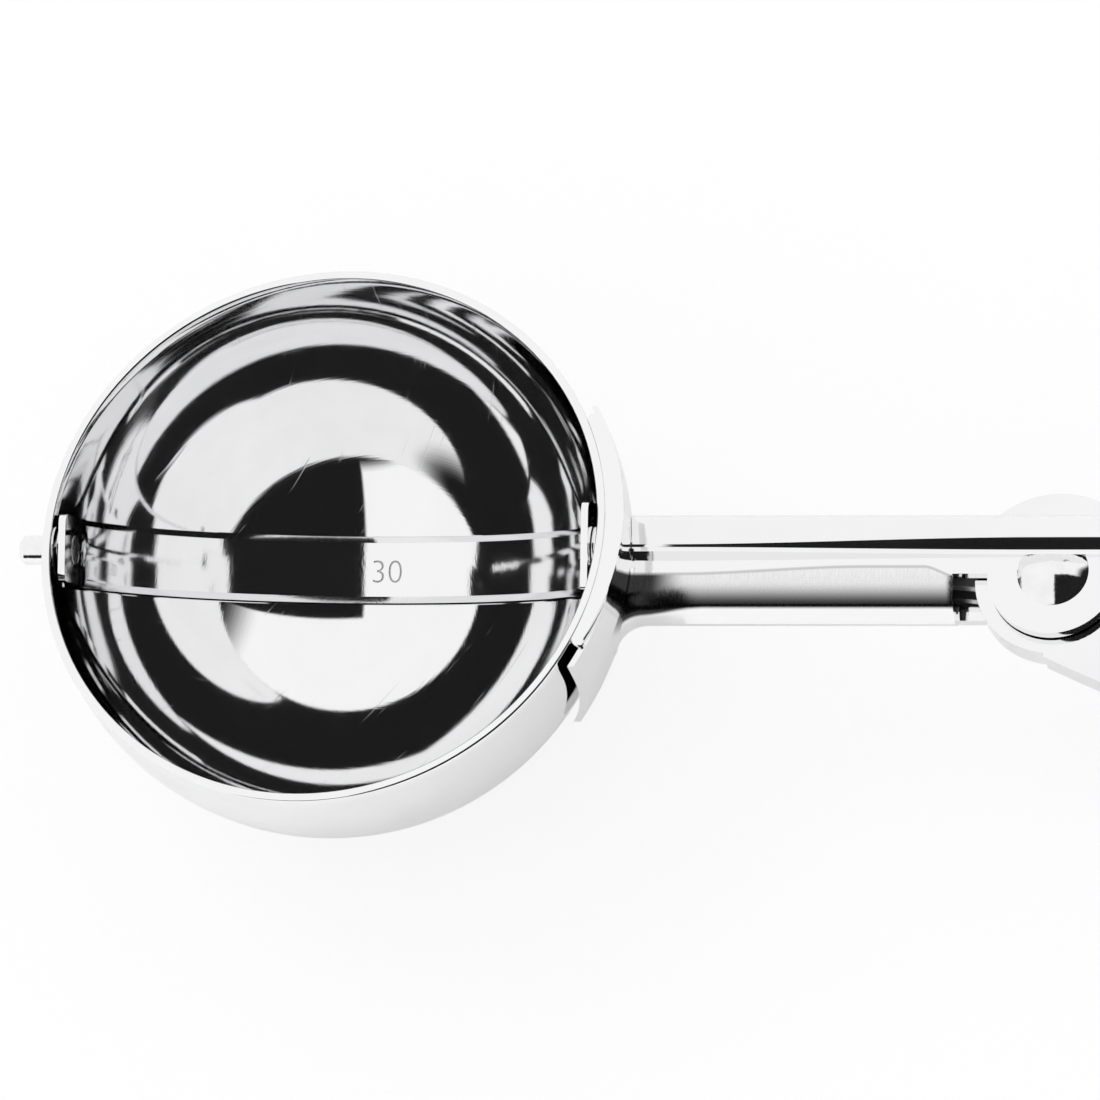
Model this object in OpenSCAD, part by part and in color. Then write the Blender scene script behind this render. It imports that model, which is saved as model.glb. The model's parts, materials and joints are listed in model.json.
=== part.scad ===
// Lever ice cream scoop. A round bowl holds a sweep blade, and two squeeze
// handles turn the blade through a curved rack and a pinion.
// Origin at the middle of the bowl's mouth. X runs along the neck to the
// handles, Y runs across them to the fixed handle's back, Z out of the mouth.

/* [Bowl] */
// Outside diameter of the bowl
bowl_d = 45; // [41:0.5:54]
// Sheet of the bowl
bowl_wall = 0.7; // [0.5:0.1:0.9]
// Straight depth from the rim to the blade's axis
bowl_straight = 3.3; // [3.2:0.1:4.2]

/* [Sweep blade] */
// Width of the blade's strap and of its tab on the tip pin
blade_w = 5.3; // [4.5:0.1:7]
// Sheet of the strap
blade_t = 0.5; // [0.35:0.05:0.6]
// Width of the sharpened edges on the strap's inner face
edge_w = 0.5; // [0.3:0.1:0.8]
// Thickness left at those edges
edge_t = 0.2; // [0.1:0.05:0.3]
// Width of the drive tab on the shaft
tab_w = 7.2; // [5.4:0.1:7.4]
// Thickness of the tabs
tab_t = 0.55; // [0.4:0.05:0.8]
// Reach of the tabs past the axis
tab_reach = 3.2; // [2.4:0.1:3.6]
// Rounding of the tabs' corners
tab_round = 0.8; // [0.2:0.1:1.5]
// Gap between the strap and the bowl
blade_gap = 0.3; // [0.2:0.05:0.6]
// Angle at which the blade rests, from the bowl's bottom
rest_angle = 19; // [0:1:40]

/* [Pins and bushes] */
// Diameter of the tip pin
tip_pin_d = 2.3; // [1.8:0.1:2.8]
// Length of the tip pin outside the bowl
tip_pin_out = 2.5; // [1.5:0.1:4]
// Diameter of the blade shaft
shaft_d = 1.6; // [1.2:0.1:1.8]
// Diameter of the shaft's head inside the blade's tab
shaft_head_d = 3; // [2.4:0.1:3.6]
// Diameter of the collars between the tabs and the bowl
collar_d = 4.3; // [3.6:0.1:5]
// Thickness of those collars
collar_t = 0.4; // [0.3:0.05:0.6]
// Running clearance of a pin in its bore, on the radius
run_gap = 0.05; // [0.03:0.01:0.1]
// Running clearance along a pin
end_gap = 0.05; // [0.04:0.01:0.1]

/* [Rack and pinion] */
// Module of the teeth
gear_module = 0.5; // [0.4:0.05:0.55]
// Teeth on the pinion
pinion_teeth = 8; // [8:1:9]
// Teeth on the curved rack
rack_teeth = 5; // [5:1:6]
// Thickness of the pinion and the rack
gear_t = 0.42; // [0.36:0.02:0.5]
// Clearance from the bowl to the pinion and the rack
gear_gap = 0.08; // [0.06:0.01:0.16]
// Play between the flanks
backlash = 0.08; // [0.04:0.01:0.12]
// Turn of the lever between its stops
lever_travel = 6.4; // [4:0.1:6.6]

/* [Housing] */
// Sheet of the housing
housing_t = 0.45; // [0.3:0.05:0.6]
// Overhang of the lip past the housing's wall
lip_over = 0.25; // [0.1:0.05:0.8]
// Angle of the lip's end on the fixed handle's side
lip_far = 25; // [22:1:30]
// Angle of the lip's end on the lever's side
lip_near = 23; // [20:1:30]
// Half of the skirt's width
skirt_half = 11; // [8:0.5:13]
// Depth of the skirt below the rim
skirt_depth = 14; // [12.5:0.5:17]
// Rounding of the skirt's lower corners
skirt_round = 3; // [1:0.5:4]

/* [Neck] */
// Height of the neck's top below the rim
neck_drop = 6; // [6:0.1:7]
// Depth of the neck tube
neck_depth = 4.7; // [4.6:0.1:6]
// Distance from the middle to the neck's near side
neck_near = 3.95; // [3.8:0.05:4.6]
// Sheet of the neck tube and its cheeks
neck_t = 0.9; // [0.7:0.1:1]
// Where the tube's near side ends
tube_end = 48.9; // [46:0.1:49.5]
// Radius of the flare from the neck to the housing
flare_r = 2.2; // [1:0.1:3]

/* [Pivot] */
// Distance from the bowl's middle to the pivot
pivot_x = 56.8; // [56:0.1:60]
// Sideways place of the pivot
pivot_y = -0.7; // [-1.4:0.1:-0.5]
// Radius of the cheeks round the pivot
cheek_r = 5.15; // [4:0.05:5.5]
// Radius of the lever's ears
ear_r = 6.3; // [5.6:0.1:6.5]
// Radius of the ears' hump at the back
hump_r = 7.1; // [6.6:0.1:8.4]
// Sheet of the ears
ear_t = 0.6; // [0.4:0.05:0.65]
// Diameter of the rivet's shank
rivet_d = 2.5; // [2:0.1:3]
// Diameter of the rivet's dome head
rivet_head_d = 5.6; // [4.4:0.1:6]
// Height of the dome head
rivet_head_h = 1.1; // [0.6:0.1:1.5]

/* [Handles] */
// Sheet of the fixed handle
handle_t = 1.1; // [0.8:0.1:1.2]
// Outer side of the fixed handle's back along the neck
back_y = 4; // [3.9:0.05:4.6]
// Depth of the fixed handle's flanges along the neck
flange_d = 3.35; // [3:0.05:3.4]
// Where the fixed handle starts to spread
spread_x = 67; // [66.5:0.5:72]
// Where both handles end
handle_end = 190; // [160:1:210]
// Width of the grips
grip_w = 15; // [12:0.5:18]
// Depth of the grips
grip_d = 9; // [7:0.5:11]
// Width of the rolled edges of the fixed handle's flanges
roll_w = 0.8; // [0.4:0.1:1]
// Height of those rolled edges
roll_h = 0.3; // [0.1:0.05:0.5]
// Rounding of the grips' long edges
grip_round = 3.6; // [2:0.1:4.5]
// Sheet of the lever's grip
lever_t = 0.8; // [0.6:0.1:0.9]
// Spread of the fixed handle
fixed_spread = 14; // [10:0.5:18]
// Early dip of the lever beside the pivot
lever_dip = 8.8; // [7:0.1:10]

/* [Return spring] */
// Thickness of the leaf
spring_t = 0.5; // [0.4:0.05:0.7]
// Height of the leaf
spring_h = 5.5; // [4:0.5:6]
// Radius of its bend
spring_r = 6; // [4.5:0.5:7]
// Where the leaf is riveted
spring_x = 102; // [99:1:104]

/* [Hidden] */
$fn = 96;
small_fn = 48;
cut = 0.5; // how far a cutting solid runs past what it cuts
seam = 0.02; // gap between curved faces that lie against each other

// Bowl and blade
bowl_r = bowl_d / 2;
bowl_in = bowl_r - bowl_wall;
axis_z = -bowl_straight;
strap_out = bowl_in - blade_gap;
// The strap is flat across, so its long edges come nearest to the bowl
strap_r = sqrt(pow(strap_out, 2) - pow(blade_w / 2, 2));
tip_pin_r = tip_pin_d / 2;
shaft_r = shaft_d / 2;
collar_r = collar_d / 2;
// A collar's outer face just meets the bowl's round wall at its edge
collar_x = sqrt(pow(bowl_in, 2) - pow(collar_r, 2)) - end_gap;
collar_in = collar_x - collar_t;
tab_out = collar_in - end_gap;
tab_in = tab_out - tab_t;
// A tab's inner face runs into the strap, and its foot stands in the strap
tab_foot = 0.2;
tab_drop = sqrt(max(pow(strap_r - blade_t, 2) - pow(tab_in, 2), 0)) + tab_foot;
bush_wall = 0.55;
bush_r = shaft_r + run_gap + bush_wall;
shaft_head_t = 0.3;
pin_bevel = 0.35;

// Teeth
pressure_angle = 20;
pitch = PI * gear_module;
pinion_r = gear_module * pinion_teeth / 2;
pinion_tip = pinion_r + gear_module;
pinion_root = pinion_r - 1.25 * gear_module;
base_r = pinion_r * cos(pressure_angle);
gear_x = bowl_r + gear_gap;
rack_out = gear_x + gear_t;
rack_mid = gear_x + gear_t / 2;
pitch_z = axis_z - pinion_r;
// The rack hugs the bowl, so its pitch line lies nearer to the Z axis
pitch_line = sqrt(pow(rack_mid, 2) - pow(pinion_r, 2));
// A taller rack tooth would undercut so small a pinion
rack_tip = pitch_z + pinion_r * pow(sin(pressure_angle), 2) * 0.94;
rack_root = pitch_z - 1.12 * gear_module;
tooth_step = pitch / pitch_line * 180 / PI;
flank_points = 5;

// Neck, from the top down
neck_top = -neck_drop;
neck_floor = neck_top - neck_depth;
inner_top = neck_top - neck_t;
inner_floor = neck_floor + neck_t;
shim_t = 0.15;
ear_gap = shim_t + 2 * end_gap;
upper_ear = inner_top - ear_gap;
lower_ear = inner_floor + ear_gap;
arm_t = 0.8;
arm_z = lower_ear + ear_t;
mid_z = (inner_top + inner_floor) / 2;
near_round = 2;
top_round = 1.8;
upper_strip = 0.84;
lower_strip = 3.2;
flange_in = back_y - handle_t;
flange_edge = back_y - flange_d;
pivot = [pivot_x, pivot_y];

// Arm and rack: the arm's round finger turns the rack round the bowl
finger_r = 0.45;
finger_gap = 0.06;
finger_neck = 0.7;
finger_run = 1.5;
arm_w = 1.8;
arm_eye = 3.4;
arm_tail = 5;
arm_rivet_r = 0.6;
arm_rivet_off = 4.2;
arm_head_r = 0.85;
arm_head_t = 0.2;
arm_l = norm([pivot_x - rack_mid, pivot_y]);
mid_angle = asin(-pivot_y / arm_l);
rest_dir = 180 - mid_angle - lever_travel / 2;
finger = pivot + arm_l * [cos(rest_dir), sin(rest_dir)];
rack_rest = atan2(finger.y, finger.x);
rack_margin = tooth_step * 0.55;
rack_floor = arm_z - 0.45;
// Lug of the rack, which reaches into the neck's mouth round the finger
lug_top = arm_z + arm_t + 0.25;
lug_wall = 0.45;
lug_out = rack_mid + 0.55;
lug_half = asin((finger_r + finger_gap + lug_wall) / rack_mid);
mouth_half = lug_half + abs(rack_rest) + 0.6;
mouth_r = lug_out + 0.15;
mouth_run = 3;
rail_t = 0.6;
rail_gap = 0.1;
rail_half = 17;

// Housing: its wall clears the corners of the pinion's teeth
wall_in = norm([rack_out, pinion_tip]) + end_gap;
wall_out = wall_in + housing_t;
wall_mid = sqrt(pow(wall_out, 2) - pow(axis_z - mid_z, 2));
lip_t = 0.5;
lip_off = [4, 0.5];
lip_r = wall_out + lip_over - lip_off.x;
lip_end_r = 0.45;
flare_sheet = 2.4;

// Lever and handles
ear_bore = rivet_d / 2 + run_gap;
bush_out = 2;
lever_x = 63;
fork_end = 72;
fork_d = 7;
fork_rivet_x = 67.5;
fork_rivet_r = 0.9;
fork_head_r = 1.6;
fork_head_t = 0.5;
fork_fit = 0.05;
inner_round = 0.05;
drum_t = 0.7;
drum_span = [203, 240, 276];
window_gap = 0.9;
rivet_edge = flange_edge - seam;
tail_h = 0.8;
tail_d = 3.4;
washer_t = 0.3;
fixed_w = neck_depth + 2 * handle_t;
fork_w = upper_ear - lower_ear;
lever_w = fork_w + 2 * lever_t;
lever_d = 10;
lever_slope = 0.115;
dip_run = 23;
dip_x = 56.3;
dip_step = 0.3;
dip_y = pivot_y - ear_r - dip_step;
fixed_slope = 0.08;
spread_run = 70;
grip_run = 52;
end_run = 10;
end_w = 4.2;
corner_steps = 5;
fixed_roll = [roll_w, roll_h];
lever_roll = [0.4, 0.15];

function smooth(t) = let (s = min(max(t, 0), 1)) s * s * (3 - 2 * s);
function dir(a) = [cos(a), sin(a)];

// Outer side of each handle's back
function fixed_y(x) = let (s = x - spread_x)
    back_y + fixed_spread * smooth(s / spread_run)
    + fixed_slope * max(s, 0) * smooth(s / 40);
function lever_y(x) = let (s = x - dip_x)
    dip_y - lever_dip * (1 - exp(-s / dip_run)) - lever_slope * s;

// Quarter ellipse that closes a handle's end
function end_fade(x) = let (s = max(x - (handle_end - end_run), 0) / end_run)
    sqrt(max(1 - s * s, 0));
function grip_width(x, x0, w0) = let (w = w0 + (grip_w - w0) * smooth((x - x0) / grip_run))
    end_w + (w - end_w) * end_fade(x);
function grip_depth(x, x0, d0) = let (d = d0 + (grip_d - d0) * smooth((x - x0) / grip_run))
    d * (0.62 + 0.38 * end_fade(x));

// Cross-section of a handle: a channel as [inward, height] points
function corner(r, a0, a1) = [for (i = [0:corner_steps])
    let (a = a0 + (a1 - a0) * i / corner_steps) r * dir(a)];
function shift(points, v) = [for (p = points) p + v];
function channel(w, d, t, r, roll) = let (
        edge = [for (a = [0, 45, 90]) [d - roll.x * (1 - cos(a)), w / 2 - roll.y * (1 - sin(a))]])
    concat(
        edge,
        shift(corner(r, 90, 180), [r, w / 2 - r]),
        shift(corner(r, 180, 270), [r, r - w / 2]),
        [for (k = [2:-1:0]) [edge[k].x, -edge[k].y]],
        [for (k = [0:2]) [edge[k].x, t - w / 2]],
        shift(corner(r - t, 270, 180), [r, r - w / 2]),
        shift(corner(r - t, 180, 90), [r, w / 2 - r]),
        [for (k = [2:-1:0]) [edge[k].x, w / 2 - t]]);

// Skin over equal channel rings, where point j lies across the sheet from
// point n - 1 - j, so strips between such pairs close both ends
module loft(rings, flip = false) {
    n = len(rings[0]);
    far = (len(rings) - 1) * n;
    sides = [for (i = [0:len(rings) - 2], j = [0:n - 1])
        let (a = i * n + j, b = i * n + (j + 1) % n, c = b + n, d = a + n)
        each [[a, b, c], [a, c, d]]];
    caps = [for (j = [0:n / 2 - 2])
        let (a = j, b = j + 1, c = n - 2 - j, d = n - 1 - j)
        each [[c, b, a], [d, c, a], [a + far, b + far, c + far], [a + far, c + far, d + far]]];
    faces = concat(sides, caps);
    polyhedron(
        points = [for (ring = rings) each ring],
        faces = flip ? [for (f = faces) [f[2], f[1], f[0]]] : faces,
        convexity = 6);
}

// Solid of a round-bottomed dome whose straight part ends at the rim
module dome(r) {
    intersection() {
        translate([0, 0, axis_z]) sphere(r);
        translate([0, 0, axis_z - 2 * r]) cylinder(r = 2 * r, h = 2 * r);
    }
    translate([0, 0, axis_z]) cylinder(r = r, h = bowl_straight);
}

// Sheet between two such domes, open at the top
module shell(r_in, r_out) {
    difference() {
        dome(r_out);
        dome(r_in);
    }
}

// Wedge about Z between two angles
module wedge(a0, a1, z0, z1) {
    far = 2 * bowl_r;
    translate([0, 0, z0])
        linear_extrude(z1 - z0) polygon([[0, 0], far * dir(a0), far * dir(a1)]);
}

// Sector of a disc about Z
module sector(r, a0, a1, z0, z1) {
    intersection() {
        translate([0, 0, z0]) cylinder(r = r, h = z1 - z0);
        wedge(a0, a1, z0, z1);
    }
}

// Cylinder along X at the height of the blade's axis
module axle(r, x0, x1) {
    translate([x0, 0, axis_z]) rotate([0, 90, 0]) cylinder(r = r, h = x1 - x0, $fn = small_fn);
}

// Tube on the blade's axis
module axle_ring(r_in, r_out, x0, x1) {
    difference() {
        axle(r_out, x0, x1);
        axle(r_in, x0 - cut, x1 + cut);
    }
}

// Cylinder along Z at the pivot
module post(r, z0, z1) {
    translate([pivot_x, pivot_y, z0]) cylinder(r = r, h = z1 - z0, $fn = small_fn);
}

// Profile in the YZ plane, run along X
module along_x(x0, x1) {
    translate([x0, 0, 0]) rotate([90, 0, 90]) linear_extrude(x1 - x0) children();
}

// What is left outside a rounded corner at the origin, open to +X +Y
module corner_chip(r) {
    difference() {
        translate([-cut, -cut]) square(r + cut);
        translate([r, r]) circle(r, $fn = small_fn);
    }
}

module bowl() {
    color("gainsboro") difference() {
        dome(bowl_r);
        dome(bowl_in);
        cylinder(r = bowl_in, h = cut);
        axle(tip_pin_r, -bowl_r - cut, -bowl_in + 2);
        axle(bush_r, bowl_in - 2, bowl_r + cut);
    }
}

// Section of the strap: flat across, with both long edges sharpened
module strap_section() {
    half = blade_w / 2;
    polygon([
        [strap_r, -half], [strap_r, half], [strap_r - edge_t, half],
        [strap_r - blade_t, half - edge_w], [strap_r - blade_t, edge_w - half],
        [strap_r - edge_t, -half]
    ]);
}

// Flat tab at one end of the strap, with round corners and a foot in the strap
module tab(x0, w) {
    intersection() {
        rotate([90, 0, 0]) cylinder(r = strap_r, h = bowl_d, center = true);
        along_x(x0, x0 + tab_t) difference() {
            translate([-w / 2, -tab_drop]) square([w, tab_drop + tab_reach]);
            for (side = [0, 1]) mirror([side, 0])
                translate([-w / 2, tab_reach]) mirror([0, 1]) corner_chip(tab_round);
        }
    }
}

module sweep_blade() {
    color("silver") difference() {
        translate([0, 0, axis_z]) rotate([rest_angle, 0, 0]) {
            intersection() {
                rotate([90, 0, 0]) rotate_extrude() strap_section();
                translate([-tab_out, -blade_w, -bowl_r]) cube([2 * tab_out, 2 * blade_w, bowl_r]);
            }
            tab(-tab_out, blade_w);
            tab(tab_in, tab_w);
        }
        axle(tip_pin_r + run_gap, -bowl_r, -tab_in + cut);
        axle(shaft_r, tab_in - cut, bowl_r);
    }
}

module tip_pin() {
    tip = bowl_r + tip_pin_out;
    color("darkgray") {
        axle(tip_pin_r, -tip + pin_bevel, -tab_in);
        translate([-tip, 0, axis_z]) rotate([0, 90, 0])
            cylinder(r1 = tip_pin_r - pin_bevel, r2 = tip_pin_r, h = pin_bevel, $fn = small_fn);
    }
}

module tip_washer() {
    color("silver") axle_ring(tip_pin_r, collar_r, -collar_x, -collar_in);
}

module blade_shaft() {
    color("dimgray") {
        axle(shaft_r, tab_in, rack_out);
        axle(shaft_head_d / 2, tab_in - shaft_head_t, tab_in);
    }
}

module shaft_bush() {
    color("silver") {
        axle_ring(shaft_r + run_gap, collar_r, collar_in, collar_x);
        axle_ring(shaft_r + run_gap, bush_r, collar_in, bowl_r);
    }
}

// Angle, in degrees, by which an involute has turned at radius r
function involute(r) = let (a = acos(base_r / r)) tan(a) * 180 / PI - a;
tooth_half = 90 / pinion_teeth + involute(pinion_r) - backlash / 2 / pinion_r * 90 / PI;
flank = [for (i = [0:flank_points])
    let (r = base_r + (pinion_tip - base_r) * i / flank_points) [r, tooth_half - involute(r)]];

// The pinion rests with a tooth space at the bottom
module pinion() {
    color("goldenrod") difference() {
        translate([0, 0, axis_z]) along_x(gear_x, rack_out) {
            circle(pinion_root, $fn = small_fn);
            for (i = [0:pinion_teeth - 1]) {
                middle = -90 + (i + 0.5) * 360 / pinion_teeth;
                polygon(concat(
                    [[0, 0]],
                    [for (p = flank) p[0] * dir(middle - p[1])],
                    [for (k = [flank_points:-1:0]) flank[k][0] * dir(middle + flank[k][1])]));
            }
        }
        axle(shaft_r, gear_x - cut, rack_out + cut);
    }
}

// The middle tooth starts one lean past the pinion, so that at rest a tooth
// stands in the pinion's bottom space
module curved_rack() {
    first = -tooth_step;
    half = pitch / 4 - backlash / 2;
    slope = tan(pressure_angle);
    last = first + (rack_teeth - 1) * tooth_step;
    color("orange") difference() {
        union() {
            intersection() {
                shell(gear_x, rack_out);
                union() {
                    wedge(first - rack_margin, last + rack_margin, rack_floor, rack_root);
                    for (k = [0:rack_teeth - 1]) rotate([0, 0, first + k * tooth_step])
                        along_x(bowl_in, wall_out) polygon([
                            [-half - (pitch_z - rack_root + cut) * slope, rack_root - cut],
                            [half + (pitch_z - rack_root + cut) * slope, rack_root - cut],
                            [half - (rack_tip - pitch_z) * slope, rack_tip],
                            [-half + (rack_tip - pitch_z) * slope, rack_tip]
                        ]);
                }
            }
            difference() {
                sector(lug_out, rack_rest - lug_half, rack_rest + lug_half, rack_floor, lug_top);
                dome(gear_x);
            }
        }
        rotate([0, 0, rack_rest])
            translate([bowl_in - cut, -finger_r - finger_gap, arm_z - rail_gap])
                cube([wall_out - bowl_in + cut, 2 * (finger_r + finger_gap), arm_t + 2 * rail_gap]);
    }
}

// Ledge between the bowl and the housing, under the rack
module rack_rail() {
    top = rack_floor - rail_gap;
    color("peru") intersection() {
        shell(bowl_r + seam, wall_in - seam);
        wedge(-rail_half, rail_half, top - rail_t, top);
    }
}

// Flat strip under the lever's upper ear, with a round finger at the front
module rack_arm() {
    color("sandybrown") translate([pivot_x, pivot_y, arm_z]) difference() {
        linear_extrude(arm_t) rotate(rest_dir) {
            circle(arm_eye, $fn = small_fn);
            translate([-arm_tail, -arm_w / 2]) square([arm_l - finger_run + arm_tail, arm_w]);
            translate([0, -finger_neck / 2]) square([arm_l, finger_neck]);
            translate([arm_l, 0]) circle(finger_r, $fn = small_fn);
        }
        translate([0, 0, -cut]) cylinder(r = bush_out, h = arm_t + 2 * cut, $fn = small_fn);
        arm_rivet_places() translate([0, 0, -cut])
            cylinder(r = arm_rivet_r, h = arm_t + 2 * cut, $fn = small_fn);
    }
}

module arm_rivet_places() {
    for (side = [-1, 1]) rotate([0, 0, rest_dir]) translate([side * arm_rivet_off, 0, 0]) children();
}

module arm_rivets() {
    color("dimgray") translate([pivot_x, pivot_y, 0]) arm_rivet_places() {
        translate([0, 0, lower_ear]) cylinder(r = arm_rivet_r, h = ear_t + arm_t, $fn = small_fn);
        translate([0, 0, arm_z + arm_t]) cylinder(r = arm_head_r, h = arm_head_t, $fn = small_fn);
    }
}

// Outline of the lip: a crescent with blunt, round ends
module lip_outline() {
    difference() {
        union() {
            intersection() {
                translate(lip_off) circle(lip_r);
                polygon([[0, 0], 2 * bowl_r * dir(-lip_near), 2 * bowl_r * dir(lip_far)]);
            }
            for (a = [-lip_near, lip_far]) translate((bowl_r + lip_end_r) * dir(a))
                circle(lip_end_r, $fn = small_fn);
        }
        circle(bowl_r);
    }
}

// Section of the neck tube, open towards the fixed handle
module tube_section() {
    difference() {
        translate([-neck_near, neck_floor]) square([neck_near + flange_in, neck_depth]);
        translate([-neck_near, neck_floor]) corner_chip(near_round);
        translate([-neck_near, neck_top]) mirror([0, 1]) corner_chip(top_round);
        difference() {
            translate([neck_t - neck_near, inner_floor])
                square([neck_near + flange_in, inner_top - inner_floor]);
            translate([neck_t - neck_near, inner_floor]) corner_chip(near_round - neck_t);
            translate([neck_t - neck_near, inner_top]) mirror([0, 1]) corner_chip(top_round - neck_t);
        }
    }
}

// Side outline of the skirt, with round lower corners
module skirt_outline() {
    difference() {
        translate([-skirt_half, -skirt_depth]) square([2 * skirt_half, skirt_depth - lip_t]);
        for (side = [0, 1]) mirror([side, 0])
            translate([-skirt_half, -skirt_depth]) corner_chip(skirt_round);
    }
}

// Cheek over or under the lever's ears, up to the fixed handle's back
module cheek(z0, strip) {
    translate([0, 0, z0]) linear_extrude(neck_t) intersection() {
        union() {
            translate(pivot) circle(cheek_r);
            translate([tube_end - cut, -strip])
                square([pivot_x + cheek_r - tube_end + cut, flange_in + strip]);
        }
        translate([tube_end - cut, -2 * cheek_r]) square([4 * cheek_r, 2 * cheek_r + flange_in]);
    }
}

// The neck's near side, curved outwards until it meets the housing's wall
module flare() {
    x0 = sqrt(pow(wall_mid, 2) - pow(neck_near + flare_r, 2)) + flare_r;
    reach = flare_r + flare_sheet;
    translate([x0, -neck_near - flare_r, 0]) intersection() {
        rotate_extrude() intersection() {
            translate([neck_near + flare_r, 0]) tube_section();
            translate([0, neck_floor]) square([reach, neck_depth]);
        }
        translate([-reach, 0, neck_floor]) cube([reach, reach, neck_depth]);
    }
}

module neck_housing() {
    color("lightsteelblue") difference() {
        union() {
            translate([0, 0, -lip_t]) linear_extrude(lip_t) lip_outline();
            intersection() {
                shell(wall_in, wall_out);
                along_x(0, bowl_d) skirt_outline();
            }
            difference() {
                union() {
                    along_x(bowl_in - cut, tube_end) tube_section();
                    flare();
                }
                dome(wall_in);
            }
            cheek(inner_top, upper_strip);
            cheek(neck_floor, lower_strip);
        }
        dome(bowl_r);
        // Mouth of the neck, through the housing's wall
        translate([bowl_in - cut, neck_t - neck_near, inner_floor])
            cube([mouth_run, neck_near - neck_t + flange_in, inner_top - inner_floor]);
        sector(mouth_r, -mouth_half, mouth_half, inner_floor, inner_top);
        post(rivet_d / 2, neck_floor - cut, neck_top + cut);
    }
}

// Places along the fixed handle where its section changes
fixed_stations = concat(
    [bowl_in - cut, spread_x],
    [for (i = [1:17]) spread_x + (handle_end - end_run - spread_x) * i / 17],
    [for (i = [1:6]) handle_end - end_run * (1 - sin(i * 15))]);
lever_stations = concat(
    [lever_x, (lever_x + fork_end) / 2],
    [for (i = [0:17]) fork_end + (handle_end - end_run - fork_end) * i / 17],
    [for (i = [1:6]) handle_end - end_run * (1 - sin(i * 15))]);

function corner_round(x, x0, r0, w) = let (r = r0 + (grip_round - r0) * smooth((x - x0) / grip_run))
    min(r, w / 2 - 0.3);
function fixed_ring(x) = let (
        w = grip_width(x, spread_x, fixed_w),
        d = grip_depth(x, spread_x, flange_d),
        r = corner_round(x, spread_x, handle_t + inner_round, w))
    [for (p = channel(w, d, handle_t, r, fixed_roll)) [x, fixed_y(x) - p.x, mid_z + p.y]];
function lever_ring(x) = let (
        w = grip_width(x, fork_end, lever_w),
        d = grip_depth(x, fork_end, lever_d),
        r = corner_round(x, fork_end, lever_t + inner_round, w))
    [for (p = channel(w, d, lever_t, r, lever_roll))
        [x, lever_y(x) - lever_t - fork_fit + p.x, mid_z + p.y]];

module fixed_handle() {
    color("gainsboro") difference() {
        loft([for (x = fixed_stations) fixed_ring(x)], flip = true);
        dome(wall_out + seam);
        // Window in the back for the lever's ears
        reach = sqrt(pow(hump_r, 2) - pow(flange_in - pivot_y, 2)) + window_gap;
        translate([pivot_x - reach, flange_in - cut, inner_floor])
            cube([2 * reach, handle_t + 2 * cut, inner_top - inner_floor]);
        spring_rivet_places() translate([0, 0, -cut])
            cylinder(r = spring_rivet_r, h = 4, center = true, $fn = small_fn);
    }
}

// Outer edge of the fork, from the pivot into the lever's grip
fork_edge = [for (i = [0:8]) let (x = dip_x + (fork_end - dip_x) * i / 8) [x, lever_y(x)]];

// Outline of the fork's ears: round at the front, humped at the back
module ear_outline() {
    difference() {
        union() {
            translate(pivot) circle(ear_r);
            intersection() {
                translate(pivot) circle(hump_r);
                translate(pivot + [-hump_r, 3]) square(2 * hump_r);
            }
            polygon(concat(fork_edge, [fork_edge[8] + [0, fork_d], pivot + [0, ear_r - 1], pivot]));
        }
        translate(pivot) circle(ear_bore, $fn = small_fn);
    }
}

// Front and outer wall between the ears
module drum_outline() {
    polygon(concat(fork_edge, [for (i = [8:-1:0]) fork_edge[i] + [0, drum_t]]));
    intersection() {
        translate(pivot) difference() {
            circle(ear_r);
            circle(ear_r - drum_t);
        }
        polygon(concat([pivot], [for (a = drum_span) pivot + 3 * ear_r * dir(a)]));
    }
}

module lever_fork() {
    color("silver") difference() {
        union() {
            for (z = [lower_ear, upper_ear - ear_t]) translate([0, 0, z])
                linear_extrude(ear_t) ear_outline();
            translate([0, 0, lower_ear]) linear_extrude(fork_w) drum_outline();
        }
        translate([pivot_x, pivot_y, lower_ear]) arm_rivet_places()
            translate([0, 0, -cut]) cylinder(r = arm_rivet_r, h = ear_t + 2 * cut, $fn = small_fn);
        fork_post(fork_rivet_r, fork_w + 2 * cut);
    }
}

// Cylinder across the fork and the grip, at their rivet
module fork_post(r, h) {
    translate([fork_rivet_x, lever_y(fork_rivet_x) + fork_d / 2, mid_z])
        cylinder(r = r, h = h, center = true, $fn = small_fn);
}

module fork_rivet() {
    color("dimgray") {
        fork_post(fork_rivet_r, lever_w);
        difference() {
            fork_post(fork_head_r, lever_w + 2 * fork_head_t);
            fork_post(fork_head_r + cut, lever_w);
        }
    }
}

module lever_handle() {
    color("whitesmoke") difference() {
        loft([for (x = lever_stations) lever_ring(x)]);
        fork_post(fork_rivet_r, lever_w + 2 * cut);
    }
}

module pivot_bush() {
    color("gold") difference() {
        post(bush_out, arm_z, upper_ear - ear_t);
        post(ear_bore, arm_z - cut, upper_ear);
    }
}

module shim(z) {
    difference() {
        post(arm_eye, z, z + shim_t);
        post(ear_bore, z - cut, z + shim_t + cut);
    }
}

module upper_shim() {
    color("khaki") shim(upper_ear + end_gap);
}

module lower_shim() {
    color("khaki") shim(inner_floor + end_gap);
}

// Keeps what lies short of the fixed handle's flange
module beside_flange() {
    intersection() {
        children();
        translate([pivot_x - rivet_head_d, rivet_edge - 2 * rivet_head_d, 2 * neck_floor])
            cube([2 * rivet_head_d, 2 * rivet_head_d, -4 * neck_floor]);
    }
}

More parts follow.
